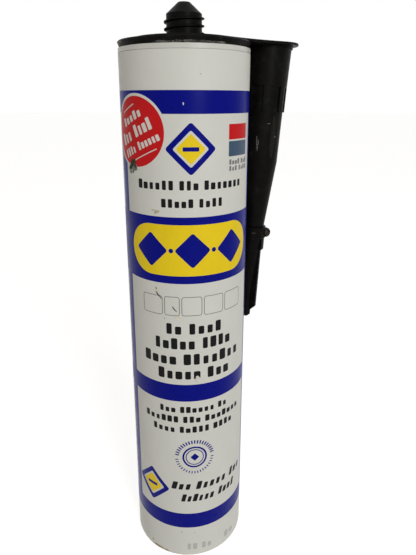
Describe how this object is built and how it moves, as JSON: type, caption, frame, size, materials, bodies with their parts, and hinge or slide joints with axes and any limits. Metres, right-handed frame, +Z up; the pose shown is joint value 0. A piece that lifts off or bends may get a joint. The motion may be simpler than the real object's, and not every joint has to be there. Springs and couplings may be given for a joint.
{
  "type": "caulk tube",
  "caption": "Sealant cartridge standing on its open end, with a threaded neck, a sliding plunger and a capped spare nozzle hanging from a swivelling plate.",
  "frame": {"origin": "middle of the barrel's open foot, on the surface that it stands on", "axes": "+Z up the barrel's axis to the threaded neck; the nozzle hangs on the +X side, 23 degrees round towards +Y"},
  "size_m": [0.071, 0.0518, 0.2334],
  "materials": {
    "white_plastic": "white, printed in blue, yellow and red",
    "black_plastic": "black, moulded, satin",
    "natural_plastic": "undyed, milky",
    "sealant": "soft black paste"
  },
  "bodies": {
    "cartridge": {"barrel": "white_plastic", "head": "black_plastic", "sealant": "sealant"},
    "plunger": {"plunger": "natural_plastic"},
    "holder": {"nozzle_holder": "black_plastic"},
    "nozzle": {"nozzle": "black_plastic"},
    "cap": {"nozzle_cap": "black_plastic"}
  },
  "joints": [
    {"name": "plunger_slide", "type": "slide", "parent": "cartridge", "child": "plunger", "axis": [0, 0, 1], "range_m": [0, 0.1707], "deforming": ["sealant"]},
    {"name": "holder_swivel", "type": "hinge", "parent": "cartridge", "child": "holder", "pos_m": [0, 0, 0.2202], "axis": [0, 0, 1], "continuous": true},
    {"name": "nozzle_pull", "type": "slide", "parent": "holder", "child": "nozzle", "axis": [0, 0, -1], "range_m": [0, 0.06]},
    {"name": "cap_pull", "type": "slide", "parent": "nozzle", "child": "cap", "axis": [0, 0, -1], "range_m": [0, 0.036]}
  ]
}
